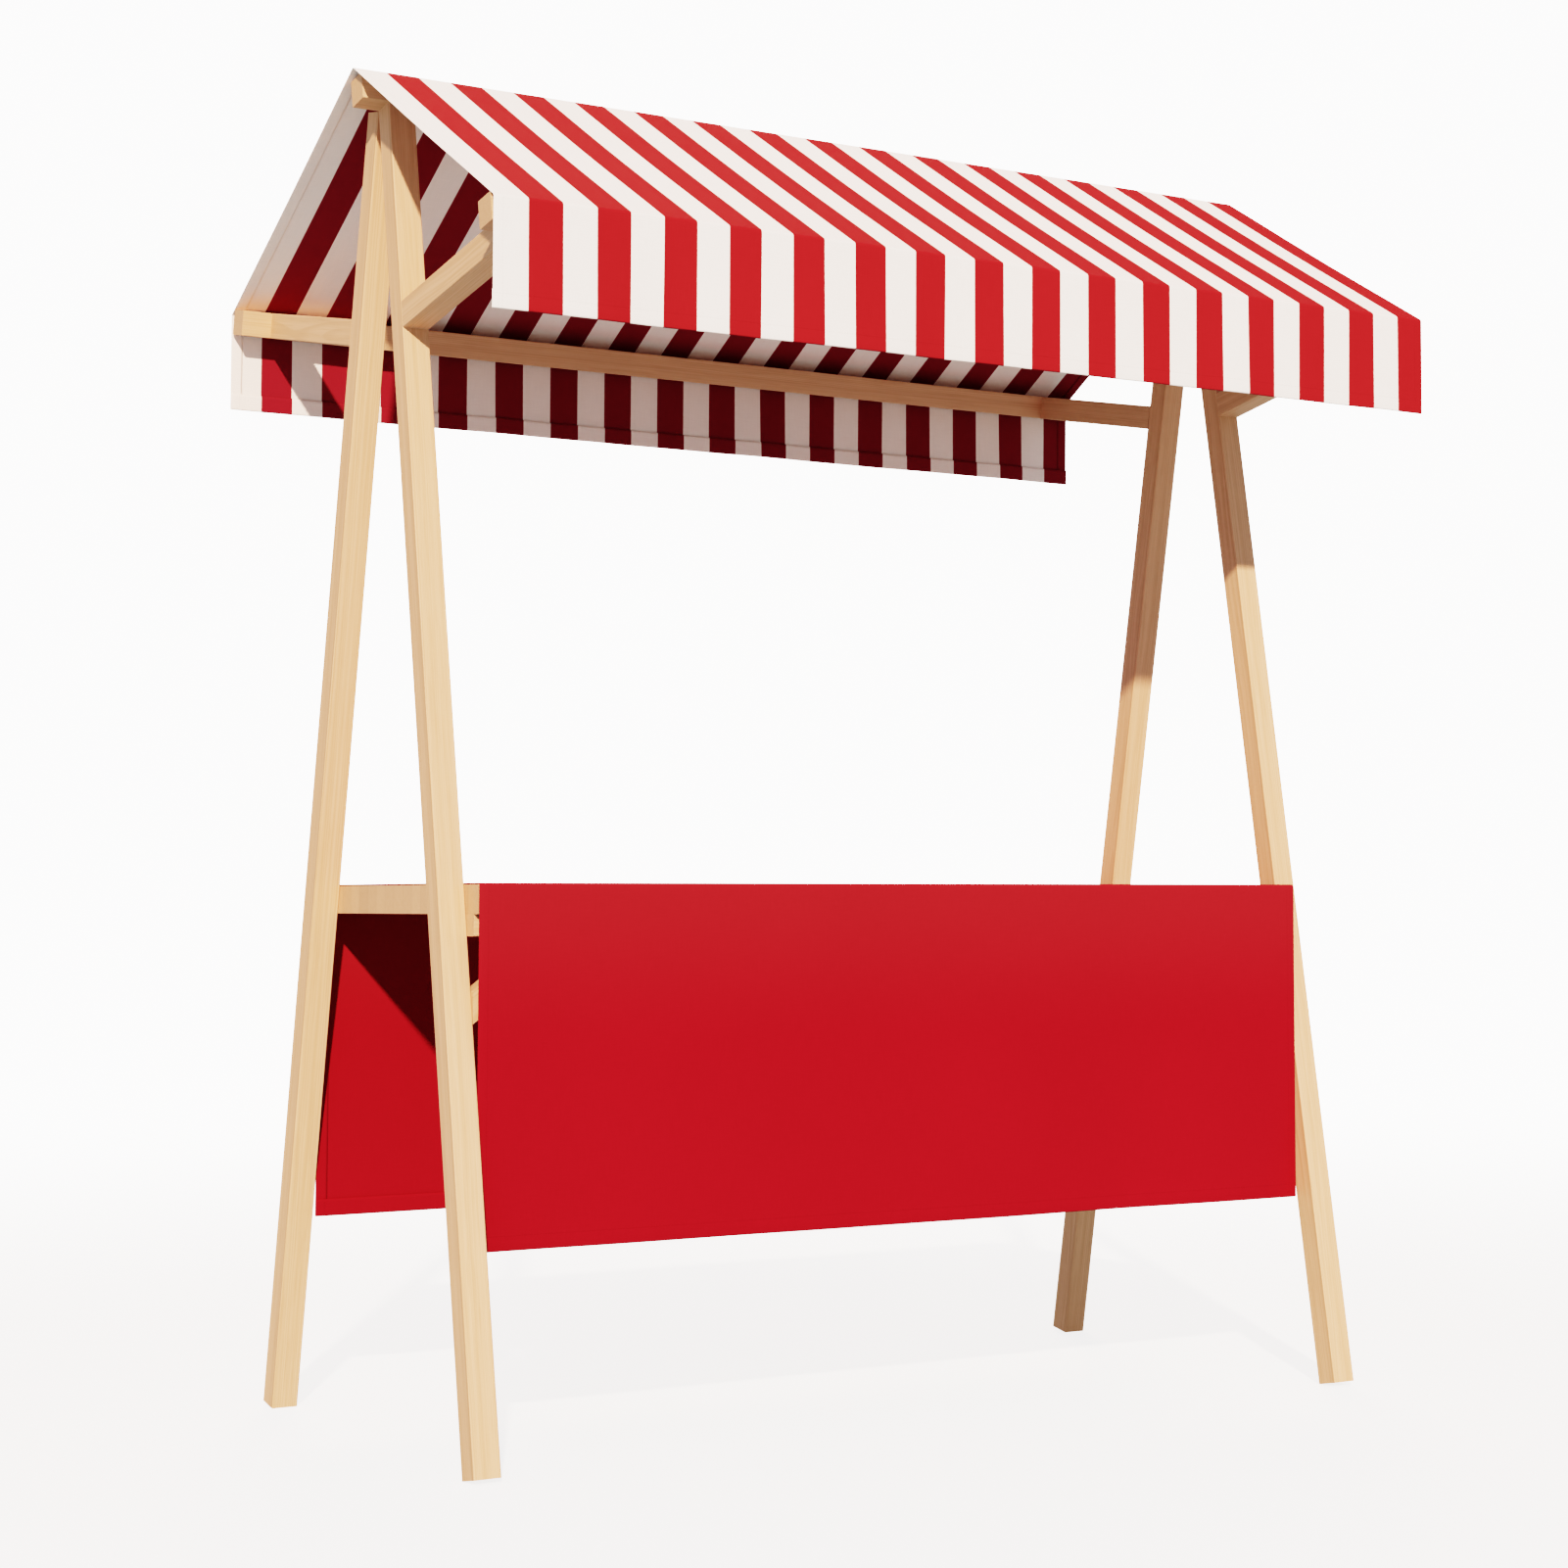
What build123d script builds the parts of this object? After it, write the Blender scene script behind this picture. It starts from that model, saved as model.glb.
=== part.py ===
from build123d import *
import math
import os

# Market stall: two leaning A-frames carry a ridge beam, two eave purlins and a counter.
# X runs along the stall (left is -X), the serving front faces -Y, Z is up.
# The origin is on the ground, under the middle of the canopy's ridge. Millimetres and degrees.

# Timber of the frame
stock = 50.0              # side of the square bars of the A-frames and the roof
eased_edge = 2.0          # rounding along the long edges of every bar
frame_length = 1900.0     # over the outer faces of the two A-frames
front_leg_tilt = 10.15    # lean of the front legs from upright
back_leg_tilt = 10.67     # lean of the back legs from upright
purlin_clearance = 6.0    # between a purlin and the hanging valance
ridge_overhang = 50.0     # ridge beam past the A-frames, at each end
purlin_overhang = 59.0    # purlins past the A-frames, at each end
leg_clearance = 0.3       # between the top edges of a front and a back leg

# Canopy, one cloth over the ridge with a hanging valance on both long sides
ridge_height = 2488.0
canopy_rise = 356.0       # from the eaves up to the ridge
canopy_depth = 1250.0     # from valance to valance
canopy_overhang = 60.0    # cloth past the A-frames, at each end
valance_drop = 190.0
cloth_thickness = 2.0
cloth_clearance = 0.3     # between a cloth and what carries it

# Counter, a thick board between the A-frames under a second cloth
counter_height = 1000.0   # top of the cloth
counter_overhang = 62.0   # cloth past the legs' outer faces, at counter height
counter_thickness = 52.0
counter_edge_round = 3.0
panel_drop = 632.0        # how far the cloth hangs down at front and back
panel_end_gap = 2.0       # between the cloth and an A-frame
rail_section = 38.0       # side of the rail under the counter, and thickness of the knee braces
brace_width = 44.0        # across the knee braces, square to their slope
brace_drop = 151.0        # from the rail's lower face down to the brace's lower edge at the leg
brace_slope = 38.0

half_stock = stock / 2
frame_half = frame_length / 2
leg_x = frame_half - half_stock
inner_face_x = frame_half - stock
ridge_length = frame_length + 2 * ridge_overhang
purlin_length = frame_length + 2 * purlin_overhang
canopy_half = frame_half + canopy_overhang

eave_reach = canopy_depth / 2
eave_height = ridge_height - canopy_rise
valance_inside = eave_reach - cloth_thickness
pitch = math.degrees(math.atan(canopy_rise / eave_reach))


def sin(angle):
    return math.sin(math.radians(angle))


def cos(angle):
    return math.cos(math.radians(angle))


def tan(angle):
    return math.tan(math.radians(angle))


def timber(section, length):
    """A planed square bar along Z, centred on the origin, with its long edges eased."""
    bar = Box(section, section, length)
    return fillet(bar.edges().filter_by(Axis.Z), eased_edge)


def lengthwise(section, length):
    """The same bar laid along X."""
    return Rot(Y=90) * timber(section, length)


def sheet(outline, half_length):
    """A closed outline of (y, z) points carried along X to both sides of the middle."""
    return extrude(Plane.YZ * Polygon(*outline, align=None), amount=half_length, both=True)


def seat_reach(lean):
    """From a bar's middle to a plane that rests on its eased edge, leaning by this much."""
    across = cos(lean) + sin(lean)
    return half_stock * across - eased_edge * (across - 1)


# Underside of the canopy's slopes, as a distance from the origin square to the slope
underside = ridge_height * cos(pitch) - cloth_thickness
seat_plane = underside - cloth_clearance

# The ridge beam stands square on the front legs and carries both slopes on its two top edges
front_seat = seat_plane - seat_reach(pitch + front_leg_tilt)
back_seat = seat_plane - seat_reach(pitch - front_leg_tilt)
beam_y = (back_seat - front_seat) / (2 * sin(pitch))
beam_z = (back_seat + front_seat) / (2 * cos(pitch))

# Front legs: in line with the ridge beam's middle, cut square, standing on their inner edge
front_top_y = beam_y - half_stock * sin(front_leg_tilt)
front_top_z = beam_z - half_stock * cos(front_leg_tilt)
foot_lift = {"front": half_stock * sin(front_leg_tilt), "back": half_stock * sin(back_leg_tilt)}
front_length = (front_top_z - foot_lift["front"]) / cos(front_leg_tilt)

# Back legs: their inner top edge leans against the inner top edge of the front legs
apex_y = front_top_y + half_stock * cos(front_leg_tilt)
apex_z = front_top_z - half_stock * sin(front_leg_tilt)
back_top_y = apex_y + leg_clearance + half_stock * cos(back_leg_tilt)
back_top_z = apex_z + half_stock * sin(back_leg_tilt)
back_length = (back_top_z - foot_lift["back"]) / cos(back_leg_tilt)

# Each side of the A-frame: which way is outwards, its lean, its leg's top end and length
sides = {
    "front": (-1, front_leg_tilt, front_top_y, front_top_z, front_length),
    "back": (1, back_leg_tilt, back_top_y, back_top_z, back_length),
}
ends = {"left": -1, "right": 1}


def outer_face_reach(side, height):
    """How far the outer face of this side's legs is from the ridge line, at a height."""
    out, tilt, top_y, top_z, length = sides[side]
    corner_reach = out * top_y + half_stock * cos(tilt)
    corner_height = top_z + half_stock * sin(tilt)
    return corner_reach + (corner_height - height) * tan(tilt)


pieces = {}


def add_legs():
    """Four legs, each a bar hung from its top end and leaning inwards."""
    for side, (out, tilt, top_y, top_z, length) in sides.items():
        middle_y = top_y + out * length / 2 * sin(tilt)
        middle_z = top_z - length / 2 * cos(tilt)
        for end, way in ends.items():
            place = Pos(way * leg_x, middle_y, middle_z) * Rot(X=out * tilt)
            pieces[f"{side}_{end}_leg"] = place * timber(stock, length)


def add_ridge_beam():
    """A bar along the stall on the ends of the front legs, turned to their lean."""
    turn = Rot(X=-front_leg_tilt)
    pieces["ridge_beam"] = Pos(0, beam_y, beam_z) * turn * lengthwise(stock, ridge_length)


def add_arms_and_purlins():
    """Purlins turned to their legs' lean, tucked into the eaves, and arms square from leg to purlin."""
    for side, (out, tilt, *_) in sides.items():
        purlin_reach = valance_inside - purlin_clearance - seat_reach(tilt)
        purlin_seat = seat_plane - seat_reach(pitch + tilt)
        purlin_z = (purlin_seat - purlin_reach * sin(pitch)) / cos(pitch)
        place = Pos(0, out * purlin_reach, purlin_z) * Rot(X=out * tilt)
        pieces[f"{side}_purlin"] = place * lengthwise(stock, purlin_length)

        leg_face = outer_face_reach(side, 0) * cos(tilt)
        purlin_face = purlin_reach * cos(tilt) + purlin_z * sin(tilt) - half_stock
        arm_length = purlin_face - leg_face
        back_off = half_stock + arm_length / 2
        arm_y = out * (purlin_reach - back_off * cos(tilt))
        arm_z = purlin_z - back_off * sin(tilt)
        for end, way in ends.items():
            place = Pos(way * leg_x, arm_y, arm_z) * Rot(X=out * (tilt - 90))
            pieces[f"{side}_{end}_arm"] = place * timber(stock, arm_length)


def add_canopy():
    """Two sloping and two hanging sheets, mitred where they meet at the ridge and the eaves."""
    ridge_inside = ridge_height - cloth_thickness / cos(pitch)
    eave_inside = ridge_inside - valance_inside * tan(pitch)
    hem_height = eave_height - valance_drop
    for side, (out, *_) in sides.items():
        slope = [
            (0, ridge_height),
            (out * eave_reach, eave_height),
            (out * valance_inside, eave_inside),
            (0, ridge_inside),
        ]
        valance = [
            (out * eave_reach, eave_height),
            (out * eave_reach, hem_height),
            (out * valance_inside, hem_height),
            (out * valance_inside, eave_inside),
        ]
        pieces[f"canopy_{side}_slope"] = sheet(slope, canopy_half)
        pieces[f"canopy_{side}_valance"] = sheet(valance, canopy_half)


# Counter cloth and board
cloth_front_y = -outer_face_reach("front", counter_height) - counter_overhang
cloth_back_y = outer_face_reach("back", counter_height) + counter_overhang
cloth_under = counter_height - cloth_thickness
board_margin = cloth_thickness + cloth_clearance
board_front_y = cloth_front_y + board_margin
board_depth = cloth_back_y - cloth_front_y - 2 * board_margin
board_top = cloth_under - cloth_clearance
board_under = board_top - counter_thickness
rail_under = board_under - rail_section
brace_low = rail_under - brace_drop
rail_y = rail_section / 2 - outer_face_reach("front", brace_low)


def add_counter():
    """A board between the A-frames with a rail under its front edge and two knee braces."""
    board = Box(2 * inner_face_x, board_depth, counter_thickness)
    board = fillet(board.edges().filter_by(Axis.X), counter_edge_round)
    board_y = board_front_y + board_depth / 2
    board_z = board_under + counter_thickness / 2
    pieces["counter_board"] = Pos(0, board_y, board_z) * board

    rail_z = rail_under + rail_section / 2
    rail = lengthwise(rail_section, 2 * inner_face_x)
    pieces["counter_front_rail"] = Pos(0, rail_y, rail_z) * rail

    brace_heel = brace_low + brace_width / cos(brace_slope)
    brace_tip = inner_face_x - brace_drop / tan(brace_slope)
    brace_toe = inner_face_x - (rail_under - brace_heel) / tan(brace_slope)
    for end, way in ends.items():
        outline = [
            (way * inner_face_x, brace_low),
            (way * inner_face_x, brace_heel),
            (way * brace_toe, rail_under),
            (way * brace_tip, rail_under),
        ]
        face = Plane.XZ * Polygon(*outline, align=None)
        brace = extrude(face, amount=rail_section / 2, both=True)
        pieces[f"counter_{end}_brace"] = Pos(0, rail_y, 0) * brace


def add_counter_cloth():
    """One cloth over the counter board, as a top sheet and two hanging sheets, mitred."""
    half_length = inner_face_x - panel_end_gap
    hem_height = counter_height - panel_drop
    inside_front_y = cloth_front_y + cloth_thickness
    inside_back_y = cloth_back_y - cloth_thickness
    top = [
        (cloth_front_y, counter_height),
        (cloth_back_y, counter_height),
        (inside_back_y, cloth_under),
        (inside_front_y, cloth_under),
    ]
    front = [
        (cloth_front_y, counter_height),
        (inside_front_y, cloth_under),
        (inside_front_y, hem_height),
        (cloth_front_y, hem_height),
    ]
    back = [
        (cloth_back_y, counter_height),
        (cloth_back_y, hem_height),
        (inside_back_y, hem_height),
        (inside_back_y, cloth_under),
    ]
    pieces["counter_cloth_top"] = sheet(top, half_length)
    pieces["counter_cloth_front"] = sheet(front, half_length)
    pieces["counter_cloth_back"] = sheet(back, half_length)


add_legs()
add_ridge_beam()
add_arms_and_purlins()
add_canopy()
add_counter()
add_counter_cloth()

os.makedirs("parts", exist_ok=True)
for name, piece in pieces.items():
    export_step(piece, f"parts/{name}.step")
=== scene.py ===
import math
import bpy
import numpy as np
from mathutils import Matrix, Vector


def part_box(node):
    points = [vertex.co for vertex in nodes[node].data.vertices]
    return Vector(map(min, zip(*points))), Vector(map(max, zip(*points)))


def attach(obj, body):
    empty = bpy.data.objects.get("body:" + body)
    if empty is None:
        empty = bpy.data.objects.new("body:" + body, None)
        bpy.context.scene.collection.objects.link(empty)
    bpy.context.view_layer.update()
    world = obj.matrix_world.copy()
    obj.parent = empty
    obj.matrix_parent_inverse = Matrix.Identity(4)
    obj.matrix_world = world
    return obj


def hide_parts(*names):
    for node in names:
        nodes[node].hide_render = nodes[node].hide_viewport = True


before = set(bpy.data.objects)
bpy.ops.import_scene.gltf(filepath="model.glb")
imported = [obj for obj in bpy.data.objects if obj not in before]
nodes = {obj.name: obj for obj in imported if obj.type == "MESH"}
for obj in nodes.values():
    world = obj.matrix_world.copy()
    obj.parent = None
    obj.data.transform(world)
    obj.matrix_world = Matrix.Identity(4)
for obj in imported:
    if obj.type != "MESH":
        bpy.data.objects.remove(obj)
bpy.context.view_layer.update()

# Cloth shapes, in metres
CLOTH_THICKNESS = 0.0008
SIDE_HEM = (0.022, 0.0021)      # width turned under along the ends, and depth under the cloth's face
LOW_HEM = (0.030, 0.0046)       # the same along the lower edges
EAVE_FOLD_RADIUS = 0.006
RIDGE_FOLD_RADIUS = 0.009
COUNTER_FOLD_RADIUS = 0.005
SLOPE_SAG = 0.0022
SAG_SHARES = (0.8, 0.2)         # of the sag: what is even along the stall, and what follows its waves
VALANCE_RIPPLE = 0.0030
VALANCE_RIPPLE_REACH = 1.25     # share of the valance's drop at which the ripple would be full
PANEL_RIPPLE = 0.0045
PANEL_RIPPLE_REACH = 1.2        # the same for the counter cloth's hanging panels

# Waves along the stall: lengths in metres and phases in radians of the sines that each is a mean of
FRONT_SAG_WAVES = ((0.83, 1.31, 0.57), (0.4, 1.0, 2.0))
BACK_SAG_WAVES = ((0.83, 1.31, 0.57), (2.1, 1.0, 2.0))
FRONT_VALANCE_WAVES = ((0.47, 0.29, 0.71, 0.19), (0.3, 1.9, 4.1, 2.7))
BACK_VALANCE_WAVES = ((0.53, 0.33, 0.61, 0.21), (2.2, 0.6, 3.3, 5.2))
FRONT_PANEL_WAVES = ((0.93, 0.61, 1.37, 0.43), (1.2, 0.2, 2.9, 4.4))
BACK_PANEL_WAVES = ((0.87, 0.57, 1.21, 0.41), (0.5, 2.4, 1.1, 3.6))
WAVE_GAIN = 1.6                 # brings the mean of the sines back to about -1 to 1

# Steps of the cloths' grids: a hem's hidden layer, its turn, each run and fold in order, and the other hem
CANOPY_STEPS_ACROSS = (5, 8, 150, 8, 5)
CANOPY_STEPS_ALONG = (6, 8, 14, 8, 34, 10, 34, 8, 14, 8, 6)
COUNTER_STEPS_ACROSS = (5, 8, 120, 8, 5)
COUNTER_STEPS_ALONG = (6, 8, 36, 8, 24, 8, 36, 8, 6)
LINE_STEPS = 60000              # in which the places along a folded line are summed up

# Cloth finish: lengths in metres, scales in waves per metre, the rest as shares
STRIPE_COUNT = 32
STRIPE_HOLD = 0.003             # the hems keep the colour found this far inside the finished edge
STRIPE_BLUR = 0.006             # of a pair of stripes
SHADED_SIDE_BLUR = 0.1               # of the change from the outer colours to the painted shade colours of the inner side, by the direction of a face
PAINTED_LIGHT_START = 0.02               # painted light: the counter cloth's paler top begins to darken this far before its folds
PAINTED_LIGHT_REACH = 0.30               # and has its full colour this far below them
CANOPY_THREAD = 0.0011
COUNTER_THREAD = 0.0009
SLUB_SCALE = (28.0, 520.0)      # along a thread and across it
FADE_SCALE = (2.1, 2.6, 1.0)
SLUB_TINT = (0.10, 0.90)        # gain and base
FADE_TINT = 0.06
# painted shade: the weave's hollows darker and its raised threads lighter
WEAVE_PAINTED_SHADE = 0.03
# painted shade in the stitches' dents
STITCH_PAINTED_SHADE = 0.10
STITCH_BAND = (0.0009, 0.0004)  # half widths where a row of stitches begins and where it is full
STITCH_LENGTH = 0.0055
STITCH_GAP = (0.18, 0.26)       # shares of a stitch's length where the gap ends
SIDE_STITCH_PLACE = 0.8         # of the hem's width in from the finished edge
LOW_STITCH_PLACE = 0.85
WEAVE_HEIGHT = 0.5
STITCH_DENT = 1.5
CLOTH_BUMP = {"Strength": 0.25, "Distance": 0.0003}
CLOTH_ROUGHNESS = (0.15, 0.78)  # gain and base
CLOTH_SPECULAR = 0.02

# Wood figure: scales in waves per metre, across the grain twice and along it; the rest in metres or as shares
WANDER_SCALE = (5.0, 5.0, 1.1)
WANDER_REACH = 0.018            # how far the rings bend to either side
YEAR_SCALE = 80.0               # of the noise along the radius that makes the years uneven
YEAR_CHANGE = 0.011
EARLY_WOOD = (0.25, 0.86)       # shares of a year between which a ring darkens
LATE_WOOD = (0.90, 1.0)         # and between which it pales again
RING_SCALE = 120.0              # of the noise along the radius that makes some rings stronger
RING_NOISE = (0.35, 0.62)
FAINTEST_RING = 0.25
PITH_SEED = 50                  # turns the pith's place into a seed
STREAK_SCALE = (95.0, 95.0, 1.5)
STREAK_NOISE = (0.40, 0.70)
FLECK_SCALE = (300.0, 300.0, 8.0)
FLECK_NOISE = (0.50, 0.72)
FIBRE_SCALE = (640.0, 640.0, 9.0)

# Wood finish
RING_SHARE = 0.55
STREAK_SHARE = 0.55
FLECK_SHARE = 0.45
END_SHARE = 0.6
END_FACING = (0.85, 0.95)       # how squarely a face has to look along the bar to be end grain
FIBRE_TINT = (0.30, 0.85)       # gain and base
RING_HEIGHT = 0.4
WOOD_BUMP = {"Strength": 0.25, "Distance": 0.0004}
WOOD_ROUGHNESS = (0.22, 0.50)   # gain and base
WOOD_SPECULAR = 0.35
EDGE_SHADE_DEPTH = 0.0045       # of the legs' painted shade line under their front face, standing in for the shading of their eased front corners
EDGE_SHADE_SCALE = (20.0, 20.0, 3.0)
EDGE_SHADE_WOBBLE = 0.002
EDGE_SHADE_BAND = (0.0030, 0.0006)
EDGE_SHADE_SHARE = 0.75

# Bars: what changes from one to the next, by its number
LEG_HALF = 0.025                # half the side of the square legs
PITH_TURN = 2.4
PITH_REACH = (0.085, 0.022, 4)  # least distance, step and number of steps
LONG_PITH_REACH = (0.035, 0.008, 3)
BAR_RING_WIDTH = (0.0034, 0.0004, 3)
GRAIN_SHIFT = 0.37
TONE_CHANGE = 0.035
TONE_TURN = 1.7

# Counter board, glued up from strips
STAVE_WIDTH = 0.0413
STAVE_SHIFT = (0.11, 0.10, 3.0)
STAVE_PITH = (0.02, 1.10)
STAVE_RING_WIDTH = 0.0036
STAVE_JOINT = (0.488, 0.497)    # shares of a strip's width from its middle where the joint begins and is full
STAVE_TINT = (0.16, 0.90)       # gain and base
JOINT_TINT = 0.35

# Colours, as linear values
CLOTH_WHITE = (0.8705, 0.8045, 0.7767)
# painted shade: a warmer white for the canopy's inner side, standing in for red light bounced under the canopy
CLOTH_WHITE_PAINTED_SHADE = (0.9004, 0.7634, 0.7020)
CANOPY_RED = (0.2800, 0.0236, 0.0291)
# painted shade: a darker red for the canopy's inner side
CANOPY_RED_PAINTED_SHADE = (0.2250, 0.0225, 0.0350)
COUNTER_RED = (0.2486, 0.0133, 0.0239)
# painted light: a paler copy of the counter red for the lit top and folds
COUNTER_RED_PAINTED_LIGHT = (0.2580, 0.0224, 0.0305)
WOOD_PALE = (0.6525, 0.3756, 0.2309)
WOOD_RING = (0.5074, 0.2738, 0.1527)
WOOD_STREAK = (0.5437, 0.3023, 0.1735)
WOOD_END = (0.5600, 0.3180, 0.1910)

# Camera, found from the corners of the stall in the picture: metres, degrees and pixels
CAMERA_PLACE = (-3.076948, -5.226137, 0.967985)
CAMERA_YAW = 33.494
CAMERA_PITCH = 3.658
CAMERA_ROLL = -0.077
IMAGE_SIDE = 1601.0
FOCAL_PIXELS = 3125.49
PICTURE_CENTRE = (1010.355, 719.908)
SENSOR_WIDTH = 36.0
VIEW_LIMIT = 200.0

# Light: the directions it travels in, and the lamps' angles in degrees
KEY_TRAVEL = (0.415, 0.783, -0.464)
KEY_COLOUR = (1.0408, 0.8231, 0.6596)
KEY_STRENGTH = 5.8
KEY_ANGLE = 1.6
BACK_FILL_TRAVEL = (-0.35, -0.70, -0.62)
BACK_FILL_COLOUR = (1.1652, 0.7328, 0.5191)
BACK_FILL_STRENGTH = 1.8
BACK_FILL_ANGLE = 20.0
SKY_COLOUR = (1.0340, 0.9726, 1.1204)
SKY_STRENGTH = 0.45
BACKDROP_COLOUR = (1.0, 0.97, 0.94)
BACKDROP_BRIGHTNESS = 5.0

# Floor, in metres
FLOOR_RINGS = (0.5, 90.0, 40)   # radius of the first and the last ring, and their number
FLOOR_TURNS = 96
FLOOR_DEPTH = 0.0003            # under the feet
FLOOR_COLOUR = (0.80, 0.80, 0.80)
FLOOR_ROUGHNESS = 0.9
FLOOR_NEAR = 1.5                # distances between which the floor goes over into the backdrop
FLOOR_FAR = 9.0
FLOOR_GLOW = 0.30               # the backdrop's share near the stall
FLOOR_BOUNCE = (0.1364, 0.2150, 0.2781)
FLOOR_LIFT = (0.3345, 0.3541, 0.3010)


# Shapes

def hem_fold(along, hem):
    """Turned-under hem. Along is the distance from the cut edge in the flat cloth: the hidden layer runs for the
    hem's width, turns in a half circle of half the depth, and the cloth then goes on in its own face.
    Gives the place from the fold's outermost line, and the depth under the cloth's face."""
    width, depth = hem
    radius = depth / 2
    angle = np.clip((along - width) / radius, 0, math.pi)
    hidden = np.clip(width - along, 0, None)
    shown = np.clip(along - width - math.pi * radius, 0, None)
    return radius - radius * np.sin(angle) + hidden + shown, radius + radius * np.cos(angle)


def hem_take_up(hem):
    """Flat cloth that one hem uses beyond its finished edge: the width and the half circle, less the radius."""
    width, depth = hem
    return width + (math.pi - 1) * depth / 2


def hemmed(flat, finished, hem):
    """The same hem on both edges of a cloth, mirrored at the middle of its flat length."""
    length = finished + 2 * hem_take_up(hem)
    place, under = hem_fold(np.minimum(flat, length - flat), hem)
    return np.where(flat < length / 2, place, finished - place), under


def hem_breaks(hem, finished):
    """Where the layers of the two hems of one flat cloth begin and end."""
    width, depth = hem
    turn = math.pi * depth / 2
    length = finished + 2 * hem_take_up(hem)
    return np.array([0, width, width + turn, length - width - turn, length - width, length])


def folded_line(corners, radii):
    """A line of straight runs in the (y, z) plane with its inner corners rounded. Its heading is constant on each
    run and turns evenly along each fold, and its places are the running sum of that heading.
    Gives the arc lengths where runs and folds meet, and a function from arc length to place and heading."""
    corners = np.asarray(corners, float)
    ways = np.diff(corners, axis=0)
    runs = np.hypot(ways[:, 0], ways[:, 1])
    headings = np.unwrap(np.arctan2(ways[:, 1], ways[:, 0]))
    turns = np.diff(headings)
    cuts = np.abs(np.asarray(radii) * np.tan(turns / 2))
    pieces = np.empty(2 * len(runs) - 1)
    pieces[0::2] = runs - np.append(0, cuts) - np.append(cuts, 0)
    pieces[1::2] = np.abs(np.asarray(radii) * turns)
    breaks = np.append(0, np.cumsum(pieces))
    fine = np.linspace(0, breaks[-1], LINE_STEPS + 1)
    middle = np.interp((fine[1:] + fine[:-1]) / 2, breaks, np.repeat(headings, 2))
    y = corners[0, 0] + np.append(0, np.cumsum(np.cos(middle) * np.diff(fine)))
    z = corners[0, 1] + np.append(0, np.cumsum(np.sin(middle) * np.diff(fine)))

    def place(s):
        heading = np.interp(s, breaks, np.repeat(headings, 2))
        return np.interp(s, fine, y), np.interp(s, fine, z), heading

    return breaks, place


def stations(breaks, steps):
    """Places along a line: each stretch between two breaks is divided evenly into its number of steps."""
    stretches = zip(breaks[:-1], breaks[1:], steps)
    return np.concatenate([np.linspace(a, b, n, endpoint=False) for a, b, n in stretches] + [breaks[-1:]])


def cloth_surface(across, along, finished_width, line, line_length, swing):
    """A hemmed sheet carried along a folded line. Across and along are places in the flat cloth. Each point lies on
    the line at its finished place, moved outwards by the swing and inwards by the hems' depth. Where both hems turn,
    the end hem's depth turns with the lower fold: by its cosine inwards and by its sine away from the edge."""
    across, along = np.meshgrid(across, along, indexing="ij")
    x, side_under = hemmed(across, finished_width, SIDE_HEM)
    s, low_under = hemmed(along, line_length, LOW_HEM)
    x = x - finished_width / 2
    turn = 1 - 2 * low_under / LOW_HEM[1]
    inner = np.sqrt(np.clip(1 - turn ** 2, 0, None))
    s = s + np.where(s < line_length / 2, inner, -inner) * side_under
    under = low_under + turn * side_under
    y, z, heading = line(s)
    lift = swing(x, s) - under
    return np.stack([x, y - lift * np.sin(heading), z + lift * np.cos(heading)], axis=-1)


def grid_faces(rows, columns):
    """Quads of a grid of rows by columns, wound so that they face the cloth's outer side."""
    index = np.arange(rows * columns).reshape(rows, columns)
    quads = [index[:-1, :-1], index[1:, :-1], index[1:, 1:], index[:-1, 1:]]
    return np.stack(quads, axis=-1).reshape(-1, 4)


def grid_object(name, surface, flat_x=None, flat_y=None):
    """A mesh from a grid of points. The UV map, if any, holds each point's place in the flat cloth, in metres."""
    rows, columns = surface.shape[:2]
    faces = grid_faces(rows, columns)
    mesh = bpy.data.meshes.new(name)
    mesh.vertices.add(rows * columns)
    mesh.vertices.foreach_set("co", surface.reshape(-1).astype(np.float32))
    mesh.loops.add(faces.size)
    mesh.loops.foreach_set("vertex_index", faces.ravel().astype(np.int32))
    mesh.polygons.add(len(faces))
    mesh.polygons.foreach_set("loop_start", np.arange(0, faces.size, 4, dtype=np.int32))
    mesh.polygons.foreach_set("use_smooth", np.ones(len(faces), bool))
    if flat_x is not None:
        flat = np.stack(np.meshgrid(flat_x, flat_y, indexing="ij"), axis=-1).reshape(-1, 2)
        layer = mesh.uv_layers.new(name="flat_cloth")
        layer.data.foreach_set("uv", flat[faces.ravel()].ravel().astype(np.float32))
    mesh.update(calc_edges=True)
    mesh.validate()
    piece = bpy.data.objects.new(name, mesh)
    bpy.context.scene.collection.objects.link(piece)
    return piece


def cloth_object(name, width, breaks, line, swing, steps_across, steps_along):
    """A hemmed cloth of a finished width over a folded line, with its thickness inwards from its outer face.
    Gives the piece, and the width and length of its flat cloth."""
    length = breaks[-1]
    across = stations(hem_breaks(SIDE_HEM, width), steps_across)
    low = hem_breaks(LOW_HEM, length)
    along = stations(np.concatenate([low[:3], breaks[1:-1] + hem_take_up(LOW_HEM), low[3:]]), steps_along)
    surface = cloth_surface(across, along, width, line, length, swing)
    flat_width, flat_length = across[-1], along[-1]
    piece = grid_object(name, surface, across - flat_width / 2, along - flat_length / 2)
    solid = piece.modifiers.new("thickness", "SOLIDIFY")
    solid.thickness = CLOTH_THICKNESS
    solid.offset = -1.0
    return piece, flat_width, flat_length


def waves(x, lengths, phases):
    """Uneven ripple between about -1 and 1: a mean of sines of several lengths, times a gain."""
    lengths, phases = np.asarray(lengths), np.asarray(phases)
    return np.sin(2 * math.pi * x[..., None] / lengths + phases).mean(axis=-1) * WAVE_GAIN


def rise(value, start, end):
    """Smooth step from 0 at start to 1 at end."""
    t = np.clip((value - start) / (end - start), 0, 1)
    return t * t * (3 - 2 * t)


# Materials

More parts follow.
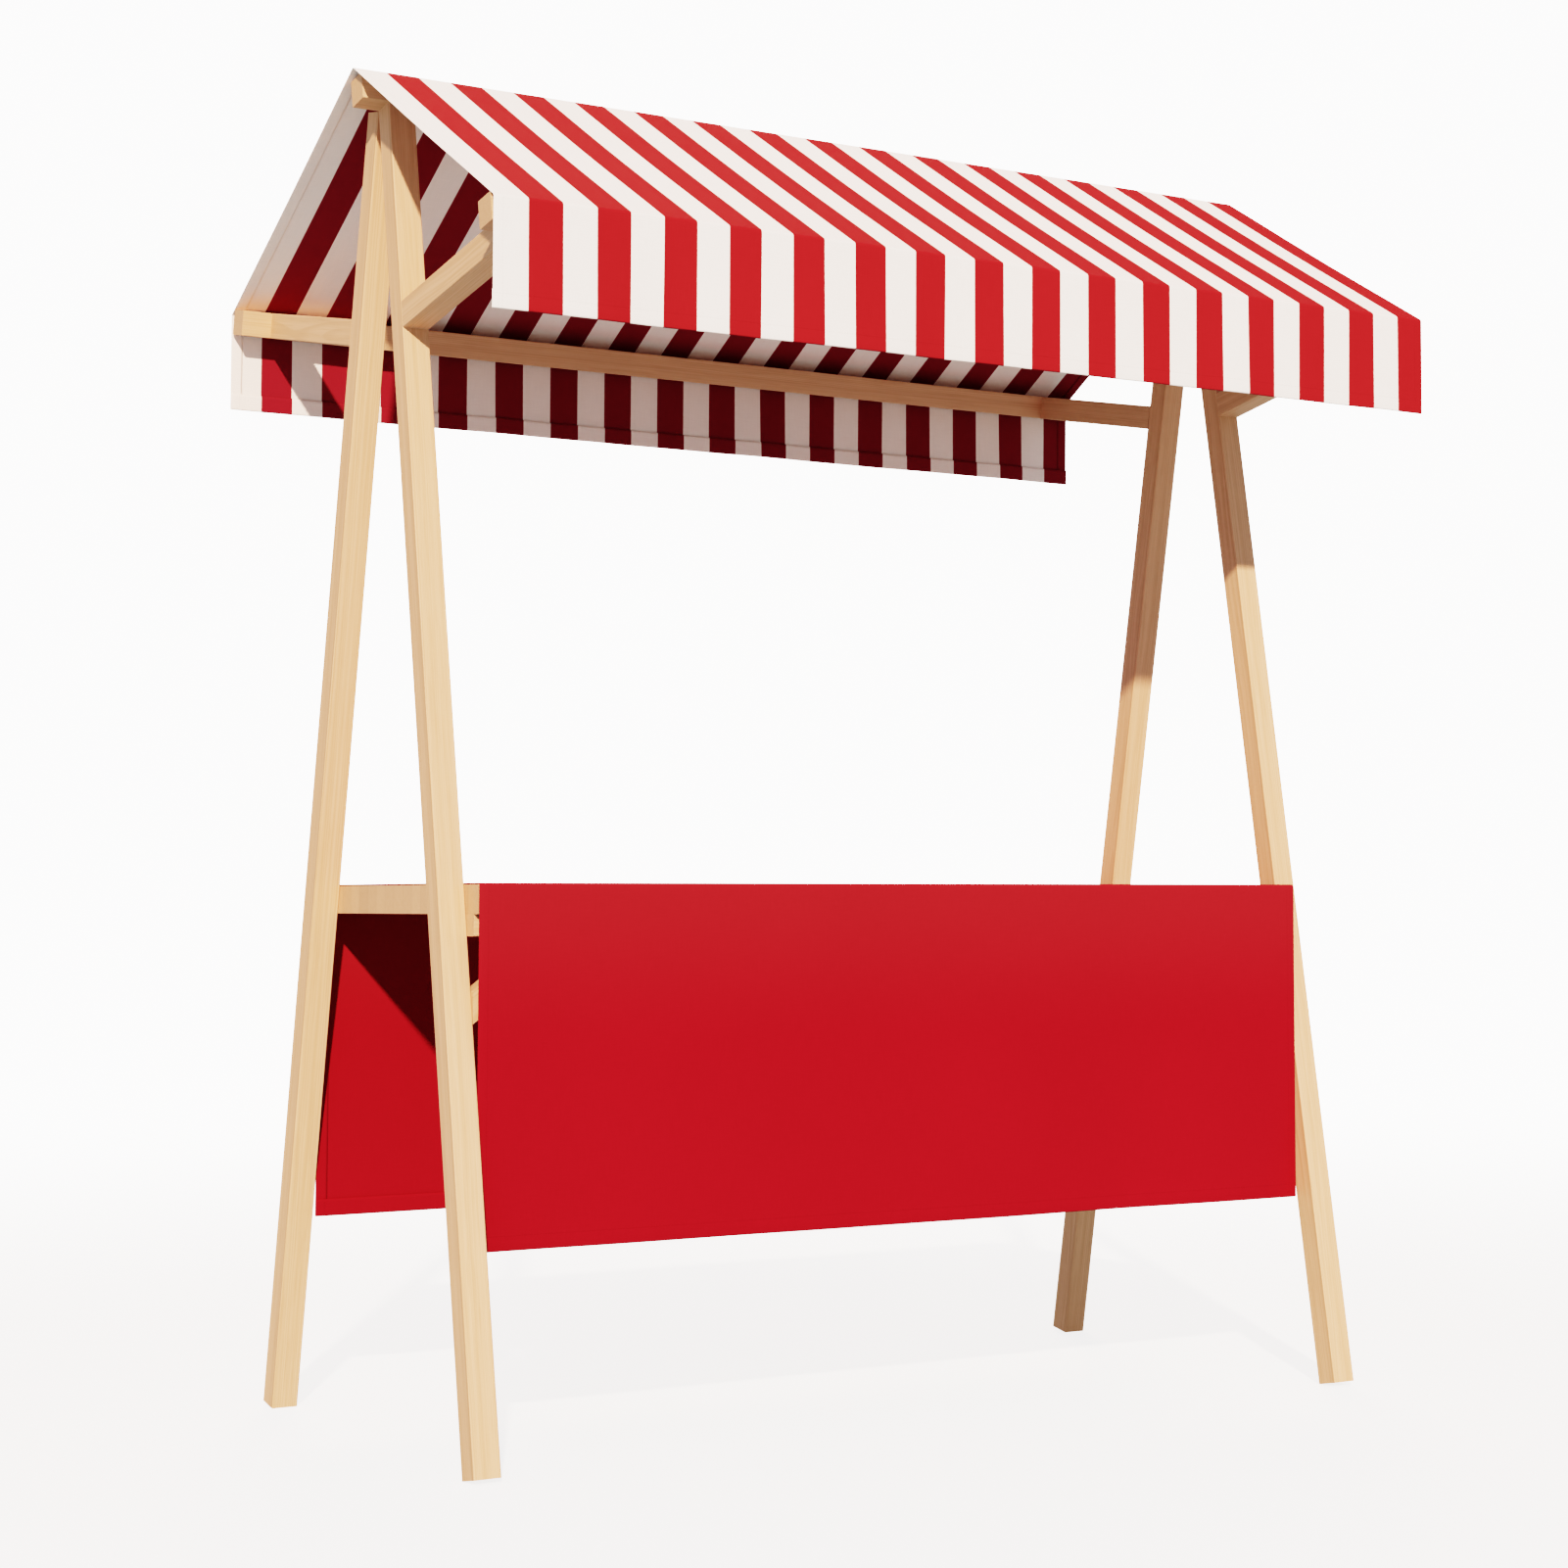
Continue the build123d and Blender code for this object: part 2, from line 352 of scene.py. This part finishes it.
def put(tree, kind, values=None, **settings):
    """A node with its settings; each value is either linked, if it comes from another node, or set."""
    node = tree.nodes.new(kind)
    for key, value in settings.items():
        setattr(node, key, value)
    for key, value in (values or {}).items():
        if isinstance(value, bpy.types.NodeSocket):
            tree.links.new(value, node.inputs[key])
        else:
            node.inputs[key].default_value = value
    return node


def maths(tree, operation, *values, clamp=False):
    """One sum on single values."""
    return put(tree, "ShaderNodeMath", dict(enumerate(values)), operation=operation, use_clamp=clamp).outputs[0]


def times(tree, a, b):
    """Product of two values."""
    return maths(tree, "MULTIPLY", a, b)


def linear(tree, value, gain, base):
    """A value times a gain, plus a base."""
    return maths(tree, "MULTIPLY_ADD", value, gain, base)


def vector(tree, x, y, z):
    """A place or direction from its three values."""
    return put(tree, "ShaderNodeCombineXYZ", {"X": x, "Y": y, "Z": z}).outputs[0]


def split(tree, place):
    """The three values of a place."""
    return put(tree, "ShaderNodeSeparateXYZ", {0: place}).outputs


def scaled(tree, place, scale):
    """A place times a scale for each axis."""
    return put(tree, "ShaderNodeVectorMath", {0: place, 1: scale}, operation="MULTIPLY").outputs[0]


def dot(tree, a, b):
    """Dot product of two directions."""
    return put(tree, "ShaderNodeVectorMath", {0: a, 1: b}, operation="DOT_PRODUCT").outputs["Value"]


def ramp(tree, value, low, high):
    """0 at low, 1 at high, smooth between and constant beyond."""
    values = {"Value": value, "From Min": low, "From Max": high}
    return put(tree, "ShaderNodeMapRange", values, interpolation_type="SMOOTHSTEP").outputs[0]


def noise(tree, place, detail=3.0, roughness=0.55):
    """Smooth noise between about 0 and 1."""
    values = {"Vector": place, "Scale": 1.0, "Detail": detail, "Roughness": roughness}
    return put(tree, "ShaderNodeTexNoise", values).outputs[0]


def blend(tree, share, a, b, how="MIX"):
    """Colour a, and b by its share."""
    colours = [(*c, 1.0) if isinstance(c, tuple) else c for c in (a, b)]
    values = {0: share, 6: colours[0], 7: colours[1]}
    return put(tree, "ShaderNodeMix", values, data_type="RGBA", blend_type=how).outputs[2]


def tint(tree, colour, value):
    """A colour times one value on all its channels."""
    grey = put(tree, "ShaderNodeCombineColor", {0: value, 1: value, 2: value}).outputs[0]
    return blend(tree, 1.0, colour, grey, "MULTIPLY")


def new_material(name):
    """A material, its node tree and its surface shader."""
    material = bpy.data.materials.new(name)
    material.use_nodes = True
    tree = material.node_tree
    return material, tree, tree.nodes["Principled BSDF"]


def wood_figure(tree, place, pith, ring_width):
    """Growth rings about a pith beside the bar, bent by a slow wander, with long streaks, flecks and fine fibres.
    Gives the ring, streak, fleck and fibre shares."""
    wander = linear(tree, noise(tree, scaled(tree, place, WANDER_SCALE), 2.0), 2 * WANDER_REACH, -WANDER_REACH)
    parts = split(tree, place)
    from_pith_x = maths(tree, "ADD", maths(tree, "ADD", parts[0], -pith[0]), wander)
    from_pith_y = maths(tree, "ADD", maths(tree, "ADD", parts[1], -pith[1]), wander)
    squares = [maths(tree, "POWER", p, 2.0) for p in (from_pith_x, from_pith_y)]
    radius = maths(tree, "POWER", maths(tree, "ADD", *squares), 0.5)
    uneven = noise(tree, vector(tree, times(tree, radius, YEAR_SCALE), pith[0] * PITH_SEED, 0.0), 2.0)
    uneven = linear(tree, uneven, YEAR_CHANGE, radius)
    year = maths(tree, "FRACT", maths(tree, "DIVIDE", uneven, ring_width))
    early = ramp(tree, year, *EARLY_WOOD)
    late = ramp(tree, year, *LATE_WOOD)
    strong = noise(tree, vector(tree, times(tree, radius, RING_SCALE), 0.0, pith[1] * PITH_SEED), 1.0)
    strong = linear(tree, ramp(tree, strong, *RING_NOISE), 1 - FAINTEST_RING, FAINTEST_RING)
    ring = times(tree, maths(tree, "SUBTRACT", early, late, clamp=True), strong)
    streak = ramp(tree, noise(tree, scaled(tree, place, STREAK_SCALE), 4.0), *STREAK_NOISE)
    fleck = ramp(tree, noise(tree, scaled(tree, place, FLECK_SCALE), 2.0), *FLECK_NOISE)
    fibre = noise(tree, scaled(tree, place, FIBRE_SCALE), 3.0, 0.7)
    return ring, streak, fleck, fibre


def wood_finish(tree, shader, place, axis, pith, ring_width, tone, edge_shade_line=None):
    """Pale planed softwood: ring, streak and fleck tints, fibres in colour, roughness and bump, darker end grain, and
    perhaps one painted shade line close under a face, standing in for the shading of eased edges, given by that
    face's direction and the line's depth in the bar's own axes."""
    colours = (WOOD_PALE, WOOD_RING, WOOD_STREAK, WOOD_END)
    pale, ringed, streaked, ended = (tuple(channel * tone for channel in c) for c in colours)
    ring, streak, fleck, fibre = wood_figure(tree, place, pith, ring_width)
    colour = blend(tree, times(tree, ring, RING_SHARE), pale, ringed)
    colour = blend(tree, times(tree, streak, STREAK_SHARE), colour, streaked)
    colour = blend(tree, times(tree, fleck, FLECK_SHARE), colour, ringed)
    # painted shade: a dark line a set depth under one face, beside the eased corners
    if edge_shade_line:
        direction, depth = edge_shade_line
        wobble = noise(tree, scaled(tree, place, EDGE_SHADE_SCALE), 2.0)
        wobble = linear(tree, wobble, 2 * EDGE_SHADE_WOBBLE, -EDGE_SHADE_WOBBLE - depth)
        away = maths(tree, "ABSOLUTE", maths(tree, "ADD", dot(tree, place, direction), wobble))
        colour = blend(tree, times(tree, ramp(tree, away, *EDGE_SHADE_BAND), EDGE_SHADE_SHARE), colour, ringed)
    facing = dot(tree, put(tree, "ShaderNodeTexCoord").outputs["Normal"], tuple(axis))
    end = ramp(tree, maths(tree, "ABSOLUTE", facing), *END_FACING)
    colour = blend(tree, times(tree, end, END_SHARE), colour, ended)
    colour = tint(tree, colour, linear(tree, fibre, *FIBRE_TINT))
    height = linear(tree, ring, RING_HEIGHT, fibre)
    bump = put(tree, "ShaderNodeBump", {**WOOD_BUMP, "Height": height}).outputs[0]
    tree.links.new(colour, shader.inputs["Base Color"])
    tree.links.new(linear(tree, fibre, *WOOD_ROUGHNESS), shader.inputs["Roughness"])
    tree.links.new(bump, shader.inputs["Normal"])
    shader.inputs["Specular IOR Level"].default_value = WOOD_SPECULAR


def bar_wood(name, centre, axis, pith, ring_width, tone, edge_shade_face=None):
    """Wood for one bar: Object coordinates turned so that the grain runs along the bar. The edge shade face is the
    outward direction of the face that a painted shade line follows, standing in for the shading of eased edges, and
    that line's distance from the bar's middle."""
    material, tree, shader = new_material(name)
    turn = Vector(axis).to_track_quat("Z", "Y")
    place = put(tree, "ShaderNodeTexCoord").outputs["Object"]
    values = {"Vector": place, "Location": tuple(centre), "Rotation": tuple(turn.to_euler())}
    place = put(tree, "ShaderNodeMapping", values, vector_type="TEXTURE").outputs[0]
    layer = None
    if edge_shade_face:
        layer = (tuple(turn.inverted() @ edge_shade_face[0]), edge_shade_face[1])
    wood_finish(tree, shader, place, axis, pith, ring_width, tone, layer)
    return material


def stave_wood(name, low, ring_width):
    """Wood for the counter board: strips glued edge to edge along the stall, each with its own figure and tint."""
    material, tree, shader = new_material(name)
    parts = split(tree, put(tree, "ShaderNodeTexCoord").outputs["Object"])
    strips = maths(tree, "DIVIDE", maths(tree, "ADD", parts[1], -low.y), STAVE_WIDTH)
    within = maths(tree, "FRACT", strips)
    number = maths(tree, "FLOOR", strips)
    chance = put(tree, "ShaderNodeTexWhiteNoise", {"W": number}, noise_dimensions="1D").outputs
    shift = put(tree, "ShaderNodeSeparateColor", {0: chance["Color"]}).outputs
    local = vector(tree, linear(tree, shift[0], STAVE_SHIFT[0], times(tree, within, STAVE_WIDTH)),
                   linear(tree, shift[1], STAVE_SHIFT[1], parts[2]),
                   linear(tree, shift[2], STAVE_SHIFT[2], parts[0]))
    wood_finish(tree, shader, local, (1.0, 0.0, 0.0), STAVE_PITH, ring_width, 1.0)
    colour = shader.inputs["Base Color"].links[0].from_socket
    edge = maths(tree, "ABSOLUTE", maths(tree, "ADD", within, -0.5))
    joint = linear(tree, ramp(tree, edge, *STAVE_JOINT), -JOINT_TINT, 1.0)
    shade = times(tree, linear(tree, chance["Value"], *STAVE_TINT), joint)
    tree.links.new(tint(tree, colour, shade), shader.inputs["Base Color"])
    return material


def weave(tree, x, y, thread):
    """Plain weave of crossing threads: the product of a sine along each direction."""
    along = maths(tree, "SINE", times(tree, x, math.pi / thread))
    cross = maths(tree, "SINE", times(tree, y, math.pi / thread))
    return times(tree, along, cross)


def stitch_line(tree, across, along, inset):
    """A row of stitches: a narrow band at the inset, broken by short gaps along it."""
    band = ramp(tree, maths(tree, "ABSOLUTE", maths(tree, "SUBTRACT", across, inset)), *STITCH_BAND)
    dash = maths(tree, "FRACT", maths(tree, "DIVIDE", along, STITCH_LENGTH))
    return times(tree, band, ramp(tree, dash, *STITCH_GAP))


def canvas(name, width, length, thread, colour_of):
    """Woven cloth of a finished size on its flat-cloth UV map: the colour, slubs along both thread directions, slow
    fading, the weave in bump and in painted shade between the threads, and stitches beside the hems, dented and
    darkened with painted shade."""
    material, tree, shader = new_material(name)
    flat = put(tree, "ShaderNodeUVMap", uv_map="flat_cloth").outputs[0]
    parts = split(tree, flat)
    x, y = parts[0], parts[1]
    colour = colour_of(tree, x, y)
    lengthwise, crosswise = SLUB_SCALE
    slub_x = noise(tree, vector(tree, times(tree, x, lengthwise), times(tree, y, crosswise), 0.0), 2.0)
    slub_y = noise(tree, vector(tree, times(tree, x, crosswise), times(tree, y, lengthwise), 3.0), 2.0)
    slubs = maths(tree, "ADD", slub_x, slub_y)
    fade = noise(tree, scaled(tree, flat, FADE_SCALE), 3.0)
    cloth = weave(tree, x, y, thread)
    ends = stitch_line(tree, maths(tree, "ABSOLUTE", x), y, width / 2 - SIDE_HEM[0] * SIDE_STITCH_PLACE)
    lows = stitch_line(tree, maths(tree, "ABSOLUTE", y), x, length / 2 - LOW_HEM[0] * LOW_STITCH_PLACE)
    stitches = maths(tree, "MAXIMUM", ends, lows)
    shade = maths(tree, "ADD", linear(tree, slubs, *SLUB_TINT), linear(tree, fade, 2 * FADE_TINT, -FADE_TINT))
    # painted shade: darker in the weave's hollows and in the stitches' dents
    shade = linear(tree, cloth, WEAVE_PAINTED_SHADE, shade)
    shade = linear(tree, stitches, -STITCH_PAINTED_SHADE, shade)
    height = maths(tree, "ADD", times(tree, cloth, WEAVE_HEIGHT), slubs)
    height = linear(tree, stitches, -STITCH_DENT, height)
    bump = put(tree, "ShaderNodeBump", {**CLOTH_BUMP, "Height": height}).outputs[0]
    tree.links.new(tint(tree, colour, shade), shader.inputs["Base Color"])
    tree.links.new(linear(tree, slub_x, *CLOTH_ROUGHNESS), shader.inputs["Roughness"])
    tree.links.new(bump, shader.inputs["Normal"])
    shader.inputs["Specular IOR Level"].default_value = CLOTH_SPECULAR
    return material


def striped(width):
    """Equal stripes across the cloth, white first; the hems keep the colour of the stripe they turn from. On the
    inner side, where a face looks down and towards the ridge, the white is warmer and the red darker: painted shade
    and painted red bounce light of the canopy's underside."""
    def colour_of(tree, x, y):
        hold = width / 2 - STRIPE_HOLD
        held = maths(tree, "MINIMUM", maths(tree, "MAXIMUM", x, -hold), hold)
        stripes = linear(tree, held, STRIPE_COUNT / width, STRIPE_COUNT / 2)
        pair = maths(tree, "FRACT", times(tree, stripes, 0.5))
        from_red = maths(tree, "ABSOLUTE", maths(tree, "ADD", pair, -0.75))
        red = ramp(tree, from_red, 0.25 + STRIPE_BLUR, 0.25 - STRIPE_BLUR)
        coords = put(tree, "ShaderNodeTexCoord").outputs
        outwards = vector(tree, 0.0, maths(tree, "SIGN", split(tree, coords["Object"])[1]), 1.0)
        # painted shade: faces of the inner side get the darker, warmer copies of the white and the red
        painted_shade_side = ramp(tree, dot(tree, coords["Normal"], outwards), SHADED_SIDE_BLUR, -SHADED_SIDE_BLUR)
        pale = blend(tree, painted_shade_side, CLOTH_WHITE, CLOTH_WHITE_PAINTED_SHADE)
        return blend(tree, red, pale, blend(tree, painted_shade_side, CANOPY_RED, CANOPY_RED_PAINTED_SHADE))
    return colour_of


def painted_top_light(colour, pale, fold):
    """One colour with painted light: paler on the top and for a short way down from the folds, where they catch more
    light.
    """
    def colour_of(tree, x, y):
        away = maths(tree, "ABSOLUTE", y)
        return blend(tree, ramp(tree, away, fold + PAINTED_LIGHT_REACH, fold - PAINTED_LIGHT_START), colour, pale)
    return colour_of


# Cloths

def make_canopy():
    """One striped cloth from hem to hem, over the eaves and the ridge."""
    slope_low, slope_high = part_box("canopy_front_slope")
    front_low, front_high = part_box("canopy_front_valance")
    back_low, back_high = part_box("canopy_back_valance")
    width = slope_high.x - slope_low.x
    corners = [(front_low.y, front_low.z), (front_low.y, front_high.z), (0.0, slope_high.z),
               (back_high.y, back_high.z), (back_high.y, back_low.z)]
    breaks, line = folded_line(corners, [EAVE_FOLD_RADIUS, RIDGE_FOLD_RADIUS, EAVE_FOLD_RADIUS])
    length = breaks[-1]
    slopes = ((breaks[2], breaks[3], FRONT_SAG_WAVES), (breaks[4], breaks[5], BACK_SAG_WAVES))

    def swing(x, s):
        """Each slope sags by a curve that is level at eave and ridge and 1 half way, a little unevenly along the
        stall; valances ripple more and more towards the hem."""
        even, uneven = SAG_SHARES
        lift = np.zeros_like(x)
        for start, end, sag_waves in slopes:
            t = np.clip((s - start) / (end - start), 0, 1)
            belly = 16 * t ** 2 * (1 - t) ** 2
            lift = lift - SLOPE_SAG * belly * (even + uneven * waves(x, *sag_waves))
        front = rise(breaks[1] - s, 0.0, VALANCE_RIPPLE_REACH * breaks[1])
        back = rise(s - breaks[-2], 0.0, VALANCE_RIPPLE_REACH * (length - breaks[-2]))
        lift = lift + VALANCE_RIPPLE * front * waves(x, *FRONT_VALANCE_WAVES)
        return lift + VALANCE_RIPPLE * back * waves(x, *BACK_VALANCE_WAVES)

    piece, flat_width, flat_length = cloth_object("canopy_cloth", width, breaks, line, swing,
                                                  CANOPY_STEPS_ACROSS, CANOPY_STEPS_ALONG)
    piece.data.materials.append(canvas("striped_canvas", width, length, CANOPY_THREAD, striped(width)))
    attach(piece, "root")
    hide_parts("canopy_front_slope", "canopy_back_slope", "canopy_front_valance", "canopy_back_valance")


def make_counter_cloth():
    """One plain cloth over the counter board, hanging at front and back."""
    top_low, top_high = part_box("counter_cloth_top")
    front_low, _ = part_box("counter_cloth_front")
    back_low, back_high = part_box("counter_cloth_back")
    board_low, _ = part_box("counter_board")
    width = top_high.x - top_low.x
    corners = [(front_low.y, front_low.z), (front_low.y, top_high.z),
               (back_high.y, top_high.z), (back_high.y, back_low.z)]
    breaks, line = folded_line(corners, [COUNTER_FOLD_RADIUS, COUNTER_FOLD_RADIUS])
    length = breaks[-1]
    held = top_high.z - board_low.z

    def swing(x, s):
        """Flat on the board and against its edges, then a gentle ripple that grows towards the hem."""
        front = rise(breaks[1] - s, held, breaks[1] * PANEL_RIPPLE_REACH)
        back = rise(s - breaks[-2], held, (length - breaks[-2]) * PANEL_RIPPLE_REACH)
        lift = PANEL_RIPPLE * front * waves(x, *FRONT_PANEL_WAVES)
        return lift + PANEL_RIPPLE * back * waves(x, *BACK_PANEL_WAVES)

    piece, flat_width, flat_length = cloth_object("counter_cloth", width, breaks, line, swing,
                                                  COUNTER_STEPS_ACROSS, COUNTER_STEPS_ALONG)
    # the paler top and folds are painted light
    colour_of = painted_top_light(COUNTER_RED, COUNTER_RED_PAINTED_LIGHT, (breaks[-2] - breaks[1]) / 2)
    piece.data.materials.append(canvas("plain_red_cloth", width, length, COUNTER_THREAD, colour_of))
    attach(piece, "root")
    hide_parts("counter_cloth_top", "counter_cloth_front", "counter_cloth_back")


# Timber

def bar_axis(node):
    """Middle of a bar, and the direction its corners spread in most."""
    mesh = nodes[node].data
    corners = np.empty(3 * len(mesh.vertices), np.float32)
    mesh.vertices.foreach_get("co", corners)
    corners = np.unique(corners.reshape(-1, 3).round(5), axis=0).astype(float)
    centre = (corners.min(axis=0) + corners.max(axis=0)) / 2
    spread = np.linalg.svd(corners - centre, full_matrices=False)[2][0]
    return centre, spread


def brace_axis(node, centre):
    """Direction of a knee brace: up and towards the middle of the stall, along its box's diagonal."""
    low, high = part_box(node)
    way = -1.0 if centre[0] > 0 else 1.0
    axis = np.array([way * (high.x - low.x), 0.0, high.z - low.z])
    return axis / np.linalg.norm(axis)


def stepped(number, least, step, count):
    """A value that grows by one step per number, and starts again after a count."""
    return least + step * (number % count)


def finish_timber():
    """Wood on every bar, each with its own pith, ring width and tone, and on the counter board."""
    bars = [n for n in nodes if n.endswith(("_leg", "_arm", "_purlin", "_beam", "_rail", "_brace"))]
    for number, node in enumerate(sorted(bars)):
        centre, axis = bar_axis(node)
        if node.endswith("_brace"):
            axis = brace_axis(node, centre)
        angle = PITH_TURN * number
        lengthwise = node.endswith(("_purlin", "_beam", "_rail"))
        reach = stepped(number, *(LONG_PITH_REACH if lengthwise else PITH_REACH))
        pith = (reach * math.cos(angle), reach * math.sin(angle))
        ring_width = stepped(number, *BAR_RING_WIDTH)
        tone = 1.0 + TONE_CHANGE * math.sin(TONE_TURN * number)
        offset = Vector(axis) * (GRAIN_SHIFT * number)
        edge_shade_face = None
        # painted shade line beside the legs' front corners
        if node.endswith("_leg"):
            front = Vector((1.0, 0.0, 0.0)).cross(Vector(axis))
            edge_shade_face = (front if front.y < 0 else -front, LEG_HALF - EDGE_SHADE_DEPTH)
        wood = bar_wood("softwood_" + node, Vector(centre) + offset, axis, pith, ring_width, tone, edge_shade_face)
        nodes[node].data.materials.clear()
        nodes[node].data.materials.append(wood)
    board = nodes["counter_board"]
    board.data.materials.clear()
    board.data.materials.append(stave_wood("softwood_staves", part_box("counter_board")[0], STAVE_RING_WIDTH))


# Studio

def make_floor():
    """A round level floor: rings of points about the middle, closer together near the stall. Seen directly, it is
    pale near the stall and goes over into the backdrop; the light that it throws back is set apart from that."""
    rings = np.concatenate([[0.0], np.geomspace(*FLOOR_RINGS)])
    turns = np.linspace(0, 2 * math.pi, FLOOR_TURNS + 1)
    ring, turn = np.meshgrid(rings, turns, indexing="ij")
    surface = np.stack([ring * np.cos(turn), ring * np.sin(turn), np.full_like(ring, -FLOOR_DEPTH)], axis=-1)
    floor = grid_object("studio_floor", surface)
    material, tree, shader = new_material("pale_floor")
    place = put(tree, "ShaderNodeTexCoord").outputs["Object"]
    reach = put(tree, "ShaderNodeVectorMath", {0: place}, operation="LENGTH").outputs["Value"]
    far = ramp(tree, reach, FLOOR_NEAR, FLOOR_FAR)
    shader.inputs["Base Color"].default_value = (*FLOOR_COLOUR, 1.0)
    shader.inputs["Roughness"].default_value = FLOOR_ROUGHNESS
    shader.inputs["Specular IOR Level"].default_value = 0.0
    glow = put(tree, "ShaderNodeEmission", {"Color": (*BACKDROP_COLOUR, 1.0), "Strength": BACKDROP_BRIGHTNESS})
    share = linear(tree, far, 1.0 - FLOOR_GLOW, FLOOR_GLOW)
    shown = put(tree, "ShaderNodeMixShader", {0: share, 1: shader.outputs[0], 2: glow.outputs[0]})
    bounce = put(tree, "ShaderNodeBsdfDiffuse", {"Color": (*FLOOR_BOUNCE, 1.0)})
    lift = put(tree, "ShaderNodeEmission", {"Color": (*FLOOR_LIFT, 1.0), "Strength": 1.0})
    below = put(tree, "ShaderNodeAddShader", {0: bounce.outputs[0], 1: lift.outputs[0]})
    direct = put(tree, "ShaderNodeLightPath").outputs["Is Camera Ray"]
    mix = put(tree, "ShaderNodeMixShader", {0: direct, 1: below.outputs[0], 2: shown.outputs[0]})
    tree.links.new(mix.outputs[0], tree.nodes["Material Output"].inputs["Surface"])
    floor.data.materials.append(material)


def make_light(name, travel, strength, colour, angle):
    """A sun lamp whose light travels in one direction."""
    light = bpy.data.lights.new(name, "SUN")
    light.energy = strength
    light.color = colour
    light.angle = math.radians(angle)
    lamp = bpy.data.objects.new(name, light)
    lamp.rotation_euler = Vector(travel).to_track_quat("-Z", "Y").to_euler()
    bpy.context.scene.collection.objects.link(lamp)


def make_studio():
    """Floor, lamps, and a soft sky that shows as a white backdrop where it is seen directly."""
    make_floor()
    make_light("key_light", KEY_TRAVEL, KEY_STRENGTH, KEY_COLOUR, KEY_ANGLE)
    make_light("back_fill", BACK_FILL_TRAVEL, BACK_FILL_STRENGTH, BACK_FILL_COLOUR, BACK_FILL_ANGLE)
    world = bpy.data.worlds.new("soft_sky")
    bpy.context.scene.world = world
    world.use_nodes = True
    tree = world.node_tree
    tree.nodes.clear()
    sky = put(tree, "ShaderNodeBackground", {"Color": (*SKY_COLOUR, 1.0), "Strength": SKY_STRENGTH})
    seen = put(tree, "ShaderNodeBackground", {"Color": (*BACKDROP_COLOUR, 1.0), "Strength": BACKDROP_BRIGHTNESS})
    direct = put(tree, "ShaderNodeLightPath").outputs["Is Camera Ray"]
    mix = put(tree, "ShaderNodeMixShader", {0: direct, 1: sky.outputs[0], 2: seen.outputs[0]})
    put(tree, "ShaderNodeOutputWorld", {"Surface": mix.outputs[0]})


def make_camera():
    """A camera at the picture's place: yaw and pitch turn its view, roll turns its picture, and the shift puts the
    middle of the view where the picture has it."""
    yaw, pitch, roll = (math.radians(a) for a in (CAMERA_YAW, CAMERA_PITCH, CAMERA_ROLL))
    ahead = Vector((math.sin(yaw) * math.cos(pitch), math.cos(yaw) * math.cos(pitch), math.sin(pitch)))
    level = Vector((math.cos(yaw), -math.sin(yaw), 0.0))
    above = level.cross(ahead)
    right = math.cos(roll) * level + math.sin(roll) * above
    up = math.cos(roll) * above - math.sin(roll) * level
    data = bpy.data.cameras.new("camera")
    data.sensor_width = SENSOR_WIDTH
    data.lens = FOCAL_PIXELS * SENSOR_WIDTH / IMAGE_SIDE
    data.shift_x = (IMAGE_SIDE / 2 - PICTURE_CENTRE[0]) / IMAGE_SIDE
    data.shift_y = (PICTURE_CENTRE[1] - IMAGE_SIDE / 2) / IMAGE_SIDE
    data.clip_end = VIEW_LIMIT
    camera = bpy.data.objects.new("camera", data)
    turn = Matrix((right, up, -ahead)).transposed().to_4x4()
    camera.matrix_world = Matrix.Translation(CAMERA_PLACE) @ turn
    bpy.context.scene.collection.objects.link(camera)
    bpy.context.scene.camera = camera


make_canopy()
make_counter_cloth()
finish_timber()
make_studio()
make_camera()
settings = bpy.context.scene.view_settings
settings.view_transform = "Filmic"
settings.look = "Very High Contrast"
